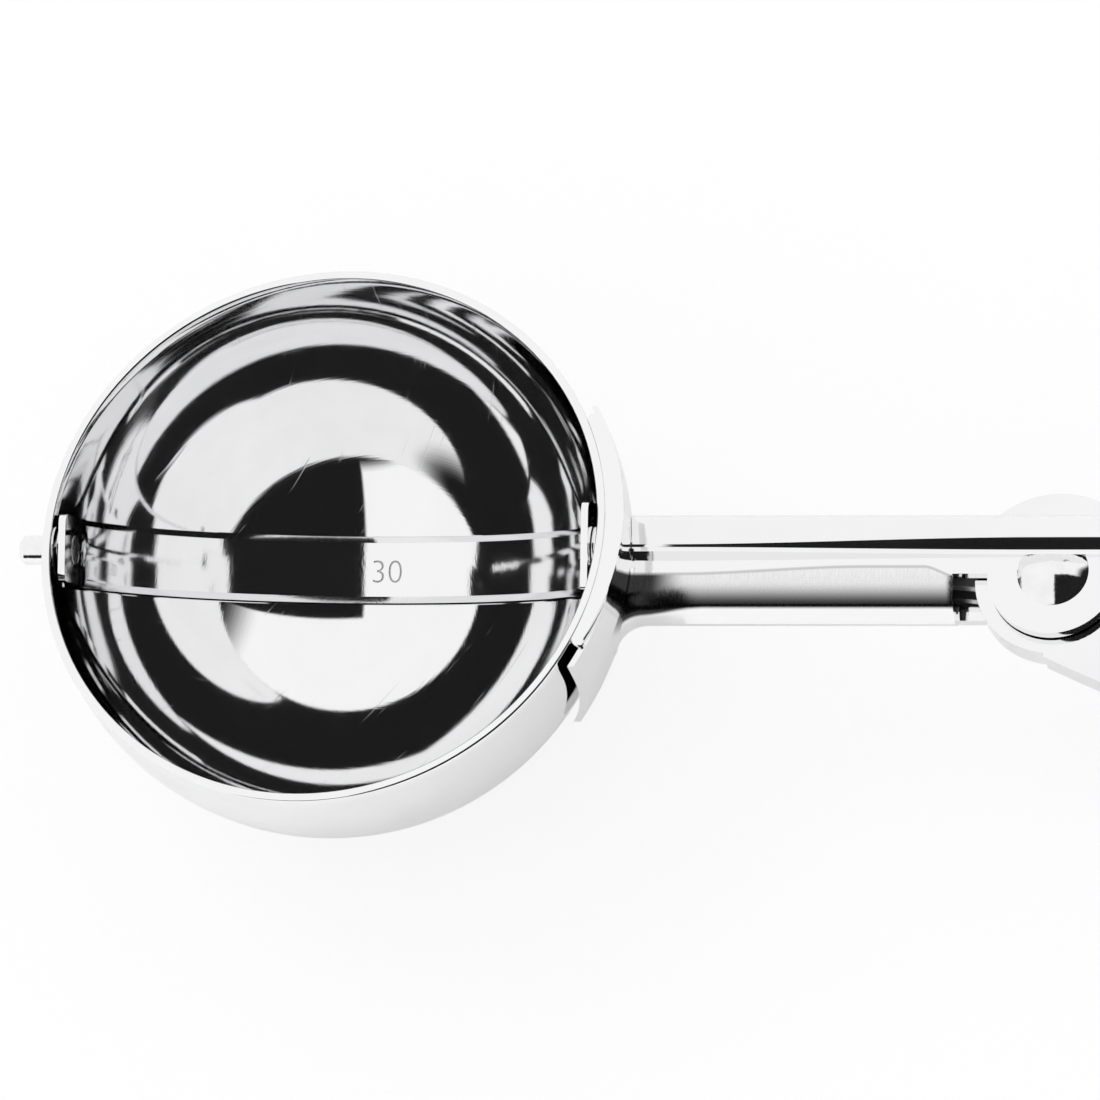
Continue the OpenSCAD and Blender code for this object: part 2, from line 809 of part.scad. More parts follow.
module pivot_rivet() {
    dome_r = (pow(rivet_head_d / 2, 2) + pow(rivet_head_h, 2)) / (2 * rivet_head_h);
    color("darkgray") {
        post(rivet_d / 2, neck_floor, neck_top);
        beside_flange() {
            post(rivet_d / 2, neck_floor - washer_t, neck_floor);
            intersection() {
                translate([pivot_x, pivot_y, neck_top + rivet_head_h - dome_r]) sphere(dome_r);
                post(rivet_head_d / 2, neck_top, neck_top + rivet_head_h);
            }
            post(tail_d / 2, neck_floor - washer_t - tail_h, neck_floor - washer_t);
        }
    }
}

module rivet_washer() {
    color("silver") beside_flange() difference() {
        post(rivet_head_d / 2, neck_floor - washer_t, neck_floor);
        post(rivet_d / 2, neck_floor - washer_t - cut, neck_floor + cut);
    }
}

// Spring: one leg on the fixed handle's back, a bend, one leg to the lever
spring_rivet_r = 1.2;
spring_head_r = 1.9;
spring_head_t = 0.7;
spring_seat = 0.25;
spring_back = 12;
spring_front = 6;
seat_rise = (fixed_y(spring_x + 1) - fixed_y(spring_x - 1)) / 2;
seat_angle = atan(seat_rise);
seat = [spring_x, fixed_y(spring_x) - handle_t] + spring_seat * [sin(seat_angle), -cos(seat_angle)];
bend = seat - spring_back * dir(seat_angle) + spring_r * dir(seat_angle - 90);
toe_r = 0.9;
toe = [spring_x + 3, lever_y(spring_x + 3) + lever_t + toe_r + 0.3];
toe_line = toe - [0, toe_r - spring_t] - bend;
leg_l = sqrt(pow(norm(toe_line), 2) - pow(spring_r, 2));
leg_angle = atan2(toe_line.y, toe_line.x) + atan(spring_r / leg_l);

module spring_rivet_places() {
    for (s = [-3, 3]) translate([seat.x, seat.y, mid_z]) rotate([0, 0, seat_angle])
        translate([s, 0, 0]) rotate([-90, 0, 0]) children();
}

// One face of the leaf: the seat, the bend and the leg
bend_from = seat_angle + 90;
bend_to = leg_angle + 270;
bend_steps = 24;
function leaf_side(r) = concat(
    [seat + spring_front * dir(seat_angle) + (r - spring_r) * dir(bend_from)],
    [for (i = [0:bend_steps]) bend + r * dir(bend_from + (bend_to - bend_from) * i / bend_steps)],
    [bend + r * dir(bend_to) + leg_l * dir(leg_angle)]);

module return_spring() {
    inner = leaf_side(spring_r - spring_t);
    last = len(inner) - 1;
    color("lightslategray") difference() {
        translate([0, 0, mid_z - spring_h / 2]) linear_extrude(spring_h) {
            polygon(concat(leaf_side(spring_r), [for (i = [last:-1:0]) inner[i]]));
            translate(toe) circle(toe_r, $fn = small_fn);
        }
        spring_rivet_places() cylinder(r = spring_rivet_r, h = 4, center = true, $fn = small_fn);
    }
}

module spring_rivets() {
    color("dimgray") spring_rivet_places() {
        translate([0, 0, -spring_t - spring_head_t])
            cylinder(r = spring_head_r, h = spring_head_t, $fn = small_fn);
        translate([0, 0, -spring_t]) cylinder(r = spring_rivet_r, h = spring_t + handle_t, $fn = small_fn);
    }
}

bowl();
neck_housing();
fixed_handle();
lever_handle();
sweep_blade();
tip_pin();
tip_washer();
blade_shaft();
shaft_bush();
pinion();
curved_rack();
rack_rail();
rack_arm();
arm_rivets();
pivot_rivet();
rivet_washer();
pivot_bush();
upper_shim();
lower_shim();
lever_fork();
fork_rivet();
return_spring();
spring_rivets();
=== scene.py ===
# Lever ice cream scoop in polished steel: its finished pieces, their steels and
# a plain pale studio. The solid model gives every place and every moving body.

import json
import math

import bmesh
import bpy
from mathutils import Matrix, Vector


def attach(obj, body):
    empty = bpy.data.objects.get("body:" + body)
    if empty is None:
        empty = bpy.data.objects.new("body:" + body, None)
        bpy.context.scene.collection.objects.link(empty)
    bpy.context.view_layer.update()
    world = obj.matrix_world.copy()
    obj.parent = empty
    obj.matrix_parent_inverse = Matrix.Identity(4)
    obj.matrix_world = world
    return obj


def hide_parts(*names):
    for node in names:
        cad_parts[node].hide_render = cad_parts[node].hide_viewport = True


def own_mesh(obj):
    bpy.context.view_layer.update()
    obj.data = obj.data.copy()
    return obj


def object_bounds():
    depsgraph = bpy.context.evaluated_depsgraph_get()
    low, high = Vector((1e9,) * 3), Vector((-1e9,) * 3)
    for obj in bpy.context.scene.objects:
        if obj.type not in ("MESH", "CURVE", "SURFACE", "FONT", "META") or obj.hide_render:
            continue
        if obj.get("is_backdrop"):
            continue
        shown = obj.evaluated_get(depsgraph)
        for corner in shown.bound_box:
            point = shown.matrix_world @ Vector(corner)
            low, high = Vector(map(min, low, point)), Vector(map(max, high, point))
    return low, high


bl_info = {
    "name": "Lever Ice Cream Scoop",
    "version": (1, 0, 0),
    "blender": (4, 5, 0),
    "location": "View3D > Sidebar > Scoop",
    "description": "Builds the finished pieces and steels of a lever ice cream scoop",
    "category": "Object",
}

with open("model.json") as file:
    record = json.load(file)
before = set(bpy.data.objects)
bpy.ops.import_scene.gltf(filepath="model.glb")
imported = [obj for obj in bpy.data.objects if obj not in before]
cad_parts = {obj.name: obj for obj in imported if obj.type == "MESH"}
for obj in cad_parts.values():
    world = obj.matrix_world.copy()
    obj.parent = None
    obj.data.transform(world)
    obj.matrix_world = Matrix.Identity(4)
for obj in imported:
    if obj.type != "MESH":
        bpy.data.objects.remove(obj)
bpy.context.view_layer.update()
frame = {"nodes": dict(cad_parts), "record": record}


# ---------------------------------------------------------------- sizes

class ScoopSizes(bpy.types.PropertyGroup):
    """Sizes of the pieces that are finished here, in metres."""

    bowl_radius: bpy.props.FloatProperty(
        name="Bowl radius", description="Outside radius of the bowl",
        default=0.0225, unit="LENGTH")
    bowl_sheet: bpy.props.FloatProperty(
        name="Bowl sheet", description="Thickness of the bowl's sheet",
        default=0.0007, unit="LENGTH")
    bowl_straight: bpy.props.FloatProperty(
        name="Bowl straight", description="Straight depth from the rim to the blade's axis",
        default=0.0033, unit="LENGTH")
    rim_round: bpy.props.FloatProperty(
        name="Rim rounding", description="Rounding of the bowl's rim",
        default=0.00018, unit="LENGTH")
    edge_round: bpy.props.FloatProperty(
        name="Edge rounding", description="Rounding of the sheet's cut edges",
        default=0.00008, unit="LENGTH")
    crease_rise: bpy.props.FloatProperty(
        name="Crease rise", description="How far the blade's crease stands up beside its tabs",
        default=0.00022, unit="LENGTH")
    crease_run: bpy.props.FloatProperty(
        name="Crease run", description="Distance over which each crease fades out",
        default=0.012, unit="LENGTH")
    strap_outside: bpy.props.FloatProperty(
        name="Strap outside", description="Outer radius of the blade's strap",
        default=0.021336, unit="LENGTH")
    strap_sheet: bpy.props.FloatProperty(
        name="Strap sheet", description="Thickness of the strap",
        default=0.0005, unit="LENGTH")
    strap_width: bpy.props.FloatProperty(
        name="Strap width", description="Width of the strap and of its tab on the tip pin",
        default=0.0053, unit="LENGTH")
    strap_edge: bpy.props.FloatProperty(
        name="Strap edge", description="Width of the sharpened edges on the strap's inner face",
        default=0.0005, unit="LENGTH")
    strap_edge_sheet: bpy.props.FloatProperty(
        name="Strap edge sheet", description="Thickness left at the sharpened edges",
        default=0.0002, unit="LENGTH")
    drive_width: bpy.props.FloatProperty(
        name="Drive tab width", description="Width of the tab on the shaft",
        default=0.0072, unit="LENGTH")
    tab_face: bpy.props.FloatProperty(
        name="Tab face", description="Distance from the middle to a tab's outer face",
        default=0.021194, unit="LENGTH")
    tab_sheet: bpy.props.FloatProperty(
        name="Tab sheet", description="Thickness of the tabs",
        default=0.00055, unit="LENGTH")
    tab_reach: bpy.props.FloatProperty(
        name="Tab reach", description="Reach of the tabs past the blade's axis",
        default=0.0032, unit="LENGTH")
    tab_drop: bpy.props.FloatProperty(
        name="Tab drop", description="Depth of the tabs' feet in the strap",
        default=0.0030, unit="LENGTH")
    tab_round: bpy.props.FloatProperty(
        name="Tab rounding", description="Rounding of the tabs' corners",
        default=0.0008, unit="LENGTH")
    tip_hole: bpy.props.FloatProperty(
        name="Tip hole", description="Radius of the hole for the tip pin",
        default=0.0012, unit="LENGTH")
    shaft_hole: bpy.props.FloatProperty(
        name="Shaft hole", description="Radius of the hole for the shaft",
        default=0.0008, unit="LENGTH")
    rest_angle: bpy.props.FloatProperty(
        name="Rest angle", description="Turn of the blade at rest",
        default=math.radians(19.0), subtype="ANGLE")
    digit_height: bpy.props.FloatProperty(
        name="Digit height", description="Height of the size number on the blade",
        default=0.00178, unit="LENGTH")
    digit_depth: bpy.props.FloatProperty(
        name="Digit depth", description="Depth of the size number on the blade",
        default=0.00007, unit="LENGTH")
    digit_place: bpy.props.FloatVectorProperty(
        name="Digit place", description="Middle of the size number along and across the strap",
        default=(-0.00048, -0.00025), unit="LENGTH", size=2)


class ScoopNeck(bpy.types.PropertyGroup):
    """Sizes of the neck's crown and of the fixed handle's flanges, in metres."""

    top: bpy.props.FloatProperty(
        name="Top", description="Height of the neck's flat top over the rim",
        default=-0.0060, unit="LENGTH")
    near: bpy.props.FloatProperty(
        name="Near side", description="Place of the neck's near side",
        default=-0.00395, unit="LENGTH")
    top_round: bpy.props.FloatProperty(
        name="Top rounding", description="Rounding between the top and the near side",
        default=0.0018, unit="LENGTH")
    crown_start: bpy.props.FloatProperty(
        name="Crown start", description="Place across the neck where the crown begins",
        default=-0.0002, unit="LENGTH")
    crown_power: bpy.props.FloatProperty(
        name="Crown power", description="How late the crown falls on its way to the crease",
        default=2.3)
    crease_place: bpy.props.FloatProperty(
        name="Crease place", description="Place of the crease across the neck",
        default=-0.0031, unit="LENGTH")
    crease_height: bpy.props.FloatProperty(
        name="Crease height", description="Height of the crease over the rim",
        default=-0.0071, unit="LENGTH")
    wall_lean: bpy.props.FloatProperty(
        name="Wall lean", description="How far the wall leans out below the crease",
        default=0.00037, unit="LENGTH")
    wall_fall: bpy.props.FloatProperty(
        name="Wall fall", description="Height of that wall",
        default=0.0007, unit="LENGTH")
    blend_start: bpy.props.FloatProperty(
        name="Blend start", description="Place along the neck where the crown starts to grow",
        default=0.0240, unit="LENGTH")
    blend_end: bpy.props.FloatProperty(
        name="Blend end", description="Place along the neck where the crown is full",
        default=0.0290, unit="LENGTH")
    tube_end: bpy.props.FloatProperty(
        name="Tube end", description="Place where the neck's tube ends",
        default=0.04895, unit="LENGTH")
    channel_middle: bpy.props.FloatProperty(
        name="Channel middle", description="Height of the fixed handle's middle over the rim",
        default=-0.00835, unit="LENGTH")
    channel_half: bpy.props.FloatProperty(
        name="Channel half", description="Half of the channel's width over its flanges",
        default=0.00345, unit="LENGTH")
    lip_root: bpy.props.FloatProperty(
        name="Lip root", description="Place across the handle where the flange's slope ends in its lip",
        default=0.0010, unit="LENGTH")
    slope_run: bpy.props.FloatProperty(
        name="Slope run", description="Width of the flange's slope",
        default=0.00075, unit="LENGTH")
    slope_fall: bpy.props.FloatProperty(
        name="Slope fall", description="Fall of the flange's slope",
        default=0.00072, unit="LENGTH")
    lip_fall: bpy.props.FloatProperty(
        name="Lip fall", description="Fall of the lip's edge",
        default=0.00082, unit="LENGTH")


class ScoopFinish(bpy.types.PropertyGroup):
    """Colours and gloss of the steels."""

    mirror_tint: bpy.props.FloatVectorProperty(
        name="Mirror tint", description="Colour of the polished sheet",
        default=(0.90, 0.90, 0.905), subtype="COLOR", size=3)
    gear_tint: bpy.props.FloatVectorProperty(
        name="Gear tint", description="Colour of the stamped gears",
        default=(0.62, 0.62, 0.625), subtype="COLOR", size=3)
    brass_tint: bpy.props.FloatVectorProperty(
        name="Brass tint", description="Colour of the bushes",
        default=(0.80, 0.62, 0.34), subtype="COLOR", size=3)
    mirror_rough: bpy.props.FloatProperty(
        name="Mirror roughness", description="Roughness of the polished sheet",
        default=0.035, min=0.0, max=1.0)
    brushed_rough: bpy.props.FloatProperty(
        name="Brushed roughness", description="Roughness of the brushed steel",
        default=0.2, min=0.0, max=1.0)


class ScoopStudio(bpy.types.PropertyGroup):
    """Floor and light of the plain studio."""

    floor_tint: bpy.props.FloatVectorProperty(
        name="Floor colour", description="Colour of the floor",
        default=(0.96, 0.96, 0.96), subtype="COLOR", size=3)
    tent_light: bpy.props.FloatProperty(
        name="Tent light", description="Strength of the white tent round the scoop",
        default=1.0, min=0.0, max=3.0)
    card_grey: bpy.props.FloatProperty(
        name="Card grey", description="Brightness of the dark cards that the steel mirrors",
        default=0.012, min=0.0, max=1.0)
    card_width: bpy.props.FloatVectorProperty(
        name="Card width", description="Slopes to the right of the view between which the front card lies",
        default=(-0.24, 1.6), size=2)
    card_height: bpy.props.FloatVectorProperty(
        name="Card height", description="Slopes above the view between which the front card lies",
        default=(-1.3, 0.55), size=2)
    card_soft: bpy.props.FloatProperty(
        name="Card softness", description="Softness of the front card's edges",
        default=0.012, min=0.0, max=1.0)


# ---------------------------------------------------------------- shader maths

class Signal:
    """A node's output that takes part in Python expressions."""

    def __init__(self, board, socket):
        self.board = board
        self.socket = socket

    def _with(self, operation, *values):
        return self.board.add("ShaderNodeMath", {"operation": operation}, dict(enumerate(values)))

    def __add__(self, other):
        return self._with("ADD", self, other)

    def __sub__(self, other):
        return self._with("SUBTRACT", self, other)

    def __rsub__(self, other):
        return self._with("SUBTRACT", other, self)

    def __mul__(self, other):
        return self._with("MULTIPLY", self, other)

    def __truediv__(self, other):
        return self._with("DIVIDE", self, other)

    def __pow__(self, other):
        return self._with("POWER", self, other)

    def least(self, other):
        return self._with("MINIMUM", self, other)

    def most(self, other):
        return self._with("MAXIMUM", self, other)

    def size(self):
        return self._with("ABSOLUTE", self)

    def turn(self, other):
        return self._with("ARCTAN2", self, other)

    __radd__ = __add__
    __rmul__ = __mul__


class Board:
    """Node tree with one method that adds any node."""

    def __init__(self, tree):
        self.tree = tree
        tree.nodes.clear()

    def add(self, kind, settings=None, sockets=None, output=0):
        node = self.tree.nodes.new(kind)
        for key, value in (settings or {}).items():
            if key == "stops":
                ramp = node.color_ramp
                while len(ramp.elements) < len(value):
                    ramp.elements.new(1.0)
                for element, (place, grey) in zip(ramp.elements, value):
                    element.position = place
                    element.color = (grey, grey, grey, 1.0)
            else:
                setattr(node, key, value)
        for key, value in (sockets or {}).items():
            if isinstance(value, Signal):
                self.tree.links.new(value.socket, node.inputs[key])
            else:
                node.inputs[key].default_value = value
        return Signal(self, node.outputs[output]) if len(node.outputs) else None

    def place(self):
        """Object coordinates in metres as three numbers."""
        whole = self.add("ShaderNodeTexCoord", output="Object")
        parts = self.add("ShaderNodeSeparateXYZ", {}, {0: whole})
        node = parts.socket.node
        return [Signal(self, node.outputs[i]) for i in range(3)]

    def vector(self, x, y, z):
        return self.add("ShaderNodeCombineXYZ", {}, {0: x, 1: y, 2: z})

    def noise(self, vector, scale, detail=2.0, rough=0.5):
        return self.add("ShaderNodeTexNoise", {"noise_dimensions": "3D"},
                        {"Vector": vector, "Scale": scale, "Detail": detail, "Roughness": rough})

    def step(self, value, low, high, start=0.0, end=1.0):
        """Smooth step of a number between two limits."""
        return self.add("ShaderNodeMapRange", {"interpolation_type": "SMOOTHSTEP"},
                        {"Value": value, "From Min": low, "From Max": high,
                         "To Min": start, "To Max": end})

    def between(self, value, low, high, soft):
        """Mask of the values between two limits, with soft edges."""
        return self.step(value, low - soft, low + soft) * self.step(value, high + soft, high - soft)

    def mix(self, mask, first, second):
        """Mix of two colours."""
        return self.add("ShaderNodeMix", {"data_type": "RGBA"},
                        {0: mask, 6: first, 7: second}, output=2)

    def bump(self, height, distance):
        return self.add("ShaderNodeBump", {}, {"Height": height, "Distance": distance, "Strength": 1.0})

    def steel(self, colour, rough, normal):
        shader = self.add("ShaderNodeBsdfPrincipled", {},
                          {"Base Color": colour, "Roughness": rough, "Metallic": 1.0, "Normal": normal})
        self.add("ShaderNodeOutputMaterial", {}, {"Surface": shader})


def rgba(colour, gain=1.0):
    return tuple(min(c * gain, 1.0) for c in colour) + (1.0,)


def new_material(name, tint):
    material = bpy.data.materials.new(name)
    material.use_nodes = True
    material.diffuse_color = rgba(tint)
    return material, Board(material.node_tree)


def hairlines(board, x, y, z, axis, run=25.0, across=5200.0):
    """Fine straight scratches along one axis: the noise is stretched there."""
    scale = [run if axis == letter else across for letter in "XYZ"]
    return board.noise(board.vector(x * scale[0], y * scale[1], z * scale[2]), 1.0, 3.0, 0.6)


def bowl_steel(name, tint, rough):
    """Mirror-polished bowl with fine turned hairlines and stray scratches."""
    material, board = new_material(name, tint)
    x, y, z = board.place()
    reach = (x * x + y * y) ** 0.5
    around = y.turn(x)
    turned = board.noise(board.vector(reach * 9000.0, around * 1.6, z * 5000.0), 1.0, 2.0, 0.6)
    stray = board.noise(board.vector((x + y) * 70.0, (x - y * 0.7) * 4200.0, z * 90.0), 1.0, 2.0, 0.7)
    scratch = board.step(stray, 0.66, 0.74)
    cloud = board.noise(board.vector(x, y, z), 140.0, 3.0, 0.55)
    gloss = board.step(turned, 0.35, 0.75, rough * 0.75, rough * 1.5) + scratch * 0.05 + cloud * 0.012
    colour = board.mix(board.step(cloud, 0.3, 0.75), rgba(tint, 0.985), rgba(tint, 1.015))
    normal = board.bump(turned * 0.5 + scratch * 0.5, 0.000002)
    board.steel(colour, gloss, normal)
    return material


def sheet_steel(name, tint, rough, axis, depth=0.000002):
    """Pressed sheet polished along one axis, with faint drawn lines."""
    material, board = new_material(name, tint)
    x, y, z = board.place()
    drawn = hairlines(board, x, y, z, axis)
    cloud = board.noise(board.vector(x, y, z), 90.0, 3.0, 0.5)
    nick = board.step(board.noise(board.vector(x, y, z), 900.0, 2.0, 0.8), 0.74, 0.8)
    gloss = board.step(drawn, 0.3, 0.72, rough * 0.7, rough * 1.4) + cloud * rough * 0.35 + nick * 0.05
    colour = board.mix(board.step(cloud, 0.3, 0.75), rgba(tint, 0.975), rgba(tint, 1.01))
    normal = board.bump(drawn * 0.8 + nick * 0.2, depth)
    board.steel(colour, gloss, normal)
    return material


def neck_steel(name, tint, rough, brushed):
    """Polished housing whose neck is brushed across on its shoulder, with painted shade at its crease and
    at its end by the bowl, and a painted reflection line at the brushed part's border.
    """
    material, board = new_material(name, tint)
    x, y, z = board.place()
    # The brushed part's far border bends away at both ends of the neck.
    bend = board.step(x, 0.042, 0.027, 0.0, 0.0006) + board.step(x, 0.0466, 0.0492, 0.0, 0.0008)
    line = y + bend + 0.00025
    neck = board.between(x, 0.0228, 0.0490, 0.0002) * board.between(z, -0.00725, -0.0050, 0.0002)
    shoulder = neck * board.step(line, 0.0001, -0.0002)
    # Painted reflection: a thin darker line along the brushed part's far border.
    painted_border_line = neck * board.step(line.size(), 0.00020, 0.00002)
    lines = hairlines(board, x, y, z, "Y", 90.0, 7000.0)
    drawn = hairlines(board, x, y, z, "X")
    cloud = board.noise(board.vector(x, y, z), 260.0, 3.0, 0.5)
    plain = board.step(drawn, 0.3, 0.72, rough * 0.7, rough * 1.4) + cloud * rough * 0.35
    matt = board.step(lines, 0.3, 0.7, brushed * 0.75, brushed * 1.3) + cloud * brushed * 0.3
    gloss = plain * (1.0 - shoulder) + matt * shoulder
    # Painted shade: the shoulder's colour falls to near black towards the crease and at the neck's end by
    # the bowl, standing in for a dark reflection.
    painted_shade = board.step(y, -0.0014, -0.0030).most(board.step(x, 0.0280, 0.0250)) * shoulder
    # Colour factor from the shoulder's hairlines, which are grain, and from the painted reflection line at
    # the border.
    shade = (1.0 - board.step(lines, 0.7, 0.35, 0.0, 0.12) * shoulder) * (1.0 - painted_border_line * 0.35)
    colour = board.mix(shade * (1.0 - painted_shade * 0.96), rgba(tint, 0.01), rgba(tint, 1.0))
    normal = board.bump(drawn * (1.0 - shoulder) + lines * shoulder, 0.000002)
    board.steel(colour, gloss, normal)
    return material


def turned_metal(name, tint, rough, wear=0.25):
    """Turned or stamped small part with a fine matt grain and a darker random cloud."""
    material, board = new_material(name, tint)
    x, y, z = board.place()
    grain = board.noise(board.vector(x, y, z), 6500.0, 2.0, 0.6)
    cloud = board.noise(board.vector(x, y, z), 700.0, 4.0, 0.6)
    gloss = board.step(grain, 0.3, 0.7, rough * 0.8, rough * 1.25) + cloud * rough * 0.3
    colour = board.mix(board.step(cloud, 0.25, 0.8), rgba(tint, 1.0 - wear * 0.5), rgba(tint, 1.03))
    normal = board.bump(grain, 0.000003)
    board.steel(colour, gloss, normal)
    return material


STEELS = {}


def steels():
    """Makes each metal once."""
    if STEELS:
        return STEELS
    finish = bpy.context.scene.scoop_finish
    mirror = tuple(finish.mirror_tint)
    STEELS["bowl"] = bowl_steel("mirror_bowl_steel", mirror, finish.mirror_rough)
    STEELS["blade"] = sheet_steel("blade_steel", mirror, finish.mirror_rough * 1.3, "Y", 0.0000025)
    # Digits' floors: matt from the stamping, and a darker grey that is painted shade in the recess.
    STEELS["stamp"] = turned_metal("stamped_number", (0.62, 0.62, 0.625), 0.4, 0.2)
    STEELS["handle"] = sheet_steel("handle_steel", mirror, finish.mirror_rough * 1.2, "X")
    STEELS["housing"] = neck_steel("housing_steel", mirror, finish.mirror_rough * 1.5, finish.brushed_rough)
    STEELS["lever"] = sheet_steel("lever_steel", mirror, finish.mirror_rough * 1.2, "X")
    STEELS["rivet"] = turned_metal("rivet_steel", mirror, finish.mirror_rough * 2.0, 0.1)
    STEELS["pin"] = turned_metal("pin_steel", mirror, finish.mirror_rough * 3.0, 0.1)
    STEELS["gear"] = turned_metal("gear_steel", tuple(finish.gear_tint), 0.3, 0.3)
    STEELS["spring"] = sheet_steel("spring_steel", tuple(finish.gear_tint), 0.22, "Z", 0.000003)
    STEELS["brass"] = turned_metal("bush_brass", tuple(finish.brass_tint), 0.28, 0.3)
    return STEELS


# ---------------------------------------------------------------- modelling

def deselect():
    if bpy.context.object and bpy.context.object.mode != "OBJECT":
        bpy.ops.object.mode_set(mode="OBJECT")
    bpy.ops.object.select_all(action="DESELECT")


def activate(piece):
    deselect()
    piece.select_set(True)
    bpy.context.view_layer.objects.active = piece


def edit(piece):
    activate(piece)
    bpy.ops.object.mode_set(mode="EDIT")


def done():
    bpy.ops.object.mode_set(mode="OBJECT")


def pick(piece, part, test):
    """Selects, in edit mode, the verts, edges or faces for which test is true."""
    mesh = bmesh.from_edit_mesh(piece.data)
    bpy.ops.mesh.select_all(action="DESELECT")
    bpy.context.tool_settings.mesh_select_mode = (part == "verts", part == "edges", part == "faces")
    for element in getattr(mesh, part):
        if test(element):
            element.select_set(True)
    mesh.select_flush_mode()
    bmesh.update_edit_mesh(piece.data)


def modify(piece, kind, **settings):
    """Adds a modifier, sets it and applies it."""
    activate(piece)
    modifier = piece.modifiers.new(kind.title(), kind)
    for key, value in settings.items():
        setattr(modifier, key, value)
    bpy.ops.object.modifier_apply(modifier=modifier.name)


def combine(piece, operation, tool):
    """Joins or cuts a piece with another, which is used up."""
    modify(piece, "BOOLEAN", operation=operation, solver="MANIFOLD", object=tool)
    bpy.data.objects.remove(tool)
    edit(piece)
    bpy.ops.mesh.select_all(action="SELECT")
    bpy.ops.mesh.remove_doubles(threshold=1e-7)
    done()


def settle(piece):
    activate(piece)
    bpy.ops.object.transform_apply(location=True, rotation=True, scale=True)


def smooth(piece, angle=35.0):
    activate(piece)
    bpy.ops.object.shade_smooth_by_angle(angle=math.radians(angle))


def finish(piece, material, body, node=None, slot=None):
    """Puts the metal on a piece, ties it to its body and hides the solid that it replaces."""
    piece.data.materials.clear()
    piece.data.materials.append(material)
    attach(piece, body)
    if node:
        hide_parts(node)


def refined(node, name, edge, angle=28.0, shape=None):
    """Copy of a solid with its triangles merged, shaped further, and its edges broken."""
    piece = frame["nodes"][node].copy()
    piece.data = frame["nodes"][node].data.copy()
    for key in [k for k in piece.keys()]:
        del piece[key]
    piece.parent = None
    bpy.context.scene.collection.objects.link(piece)
    piece.name = name
    piece.data.name = name
    edit(piece)
    bpy.ops.mesh.select_all(action="SELECT")
    bpy.ops.mesh.customdata_custom_splitnormals_clear()
    bpy.ops.mesh.remove_doubles(threshold=0.000002)
    bpy.ops.mesh.dissolve_limited(angle_limit=math.radians(0.4))
    if shape:
        shape(piece)
    done()
    modify(piece, "BEVEL", width=edge, segments=2, limit_method="ANGLE",
           angle_limit=math.radians(angle), use_clamp_overlap=True)
    smooth(piece, angle)
    modify(piece, "WEIGHTED_NORMAL", mode="FACE_AREA", keep_sharp=True)
    return piece


def body_of(node):
    for body, members in frame["record"]["behaviour"]["bodies"].items():
        if node in members:
            return body
    raise RuntimeError("no body holds " + node)


def slot_of(node):
    for entry in frame["record"]["subparts"]:
        if entry["node"] == node:
            return entry["material_slot"]
    raise RuntimeError("no slot for " + node)


def refine_node(node, metal, edge, **options):
    piece = refined(node, node + "_finished", edge, **options)
    finish(piece, steels()[metal], body_of(node), node, slot_of(node))
    return piece


# ---------------------------------------------------------------- pieces

class SCOOP_OT_bowl(bpy.types.Operator):
    """Spins the bowl's profile round and gives the sheet a rounded rim"""

    bl_idname = "scoop.bowl"
    bl_label = "Bowl"

    def execute(self, context):
        sizes = context.scene.scoop_sizes
        r, axis = sizes.bowl_radius, -sizes.bowl_straight
        deselect()
        bpy.ops.mesh.primitive_uv_sphere_add(segments=160, ring_count=80, radius=r, location=(0, 0, axis))
        bowl = context.object
        bowl.name = "bowl_shell"
        settle(bowl)
        edit(bowl)
        pick(bowl, "faces", lambda f: f.calc_center_median().z > axis + 1e-6)
        bpy.ops.mesh.delete(type="FACE")
        pick(bowl, "edges", lambda e: e.is_boundary)
        for part in range(3):
            bpy.ops.mesh.extrude_region_move(
                TRANSFORM_OT_translate={"value": (0, 0, sizes.bowl_straight / 3)})
        bpy.ops.mesh.select_all(action="SELECT")
        bpy.ops.mesh.remove_doubles(threshold=1e-7)
        bpy.ops.mesh.normals_make_consistent(inside=False)
        done()
        modify(bowl, "SOLIDIFY", thickness=sizes.bowl_sheet, offset=-1.0, use_even_offset=True)
        modify(bowl, "BEVEL", width=sizes.rim_round, segments=4, limit_method="ANGLE",
               angle_limit=math.radians(50))
        smooth(bowl, 40)
        finish(bowl, steels()["bowl"], "scoop", "bowl", slot_of("bowl"))
        return {"FINISHED"}


